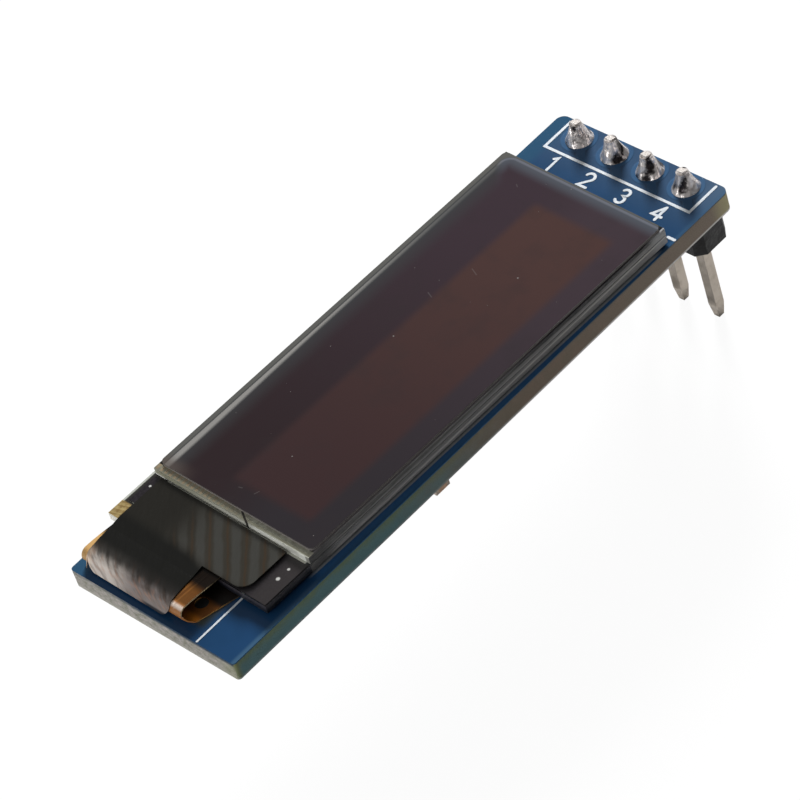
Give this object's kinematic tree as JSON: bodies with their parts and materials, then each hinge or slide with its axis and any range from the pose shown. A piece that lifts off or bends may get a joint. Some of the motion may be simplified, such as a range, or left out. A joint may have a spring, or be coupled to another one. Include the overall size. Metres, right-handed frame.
{
  "type": "small oled module",
  "caption": "Narrow blue board carrying a slim glass OLED display, with a flex tail folded over one end and a pin header under the other.",
  "frame": {"origin": "middle of the pin row, in the plane where the header housing seats", "axes": "+X from the flexible-circuit end to the header end, along the board; +Y to the left of that; +Z out of the display"},
  "size_m": [0.0382, 0.0125, 0.0108],
  "materials": {
    "board": "blue solder mask over glass-epoxy board, satin",
    "header_black": "moulded, fine grain",
    "bonding_tape": "thin dark double-sided tape",
    "panel_glass": "clear, cut edges",
    "resin": "clear resin",
    "emitter": "brown-red dot matrix",
    "polarizer": "dark film, semi-gloss",
    "flex": "orange-brown polyimide",
    "silicon": "polished chip",
    "black_mask": "matt black",
    "black_tape": "semi-gloss black tape, silvery where it bends",
    "pin_metal": "tinned square pin",
    "solder": "bright solder",
    "capacitor": "tan ceramic with tinned ends",
    "resistor": "black glaze with tinned ends",
    "chip_black": "moulded epoxy",
    "lead_metal": "tinned lead"
  },
  "bodies": {
    "root": {"circuit_board": "board", "header_housing": "header_black", "mounting_tape": "bonding_tape", "substrate_glass": "panel_glass", "edge_seal": "resin", "emitter_matrix": "emitter", "cap_glass": "panel_glass", "polarizer": "polarizer", "flex_circuit": "flex", "driver_chip": "silicon", "ledge_mask": "black_mask", "cover_tape": "black_tape", "regulator_body": "chip_black", "header_pin_1": "pin_metal", "solder_joint_1": "solder", "resistor_1": "resistor", "header_pin_2": "pin_metal", "solder_joint_2": "solder", "resistor_2": "resistor", "header_pin_3": "pin_metal", "solder_joint_3": "solder", "resistor_3": "resistor", "header_pin_4": "pin_metal", "solder_joint_4": "solder", "resistor_4": "resistor", "capacitor_1": "capacitor", "capacitor_2": "capacitor", "capacitor_3": "capacitor", "capacitor_4": "capacitor", "capacitor_5": "capacitor", "capacitor_6": "capacitor", "capacitor_7": "capacitor", "capacitor_8": "capacitor", "regulator_lead_1": "lead_metal", "regulator_lead_2": "lead_metal", "regulator_lead_3": "lead_metal"}
  },
  "joints": []
}
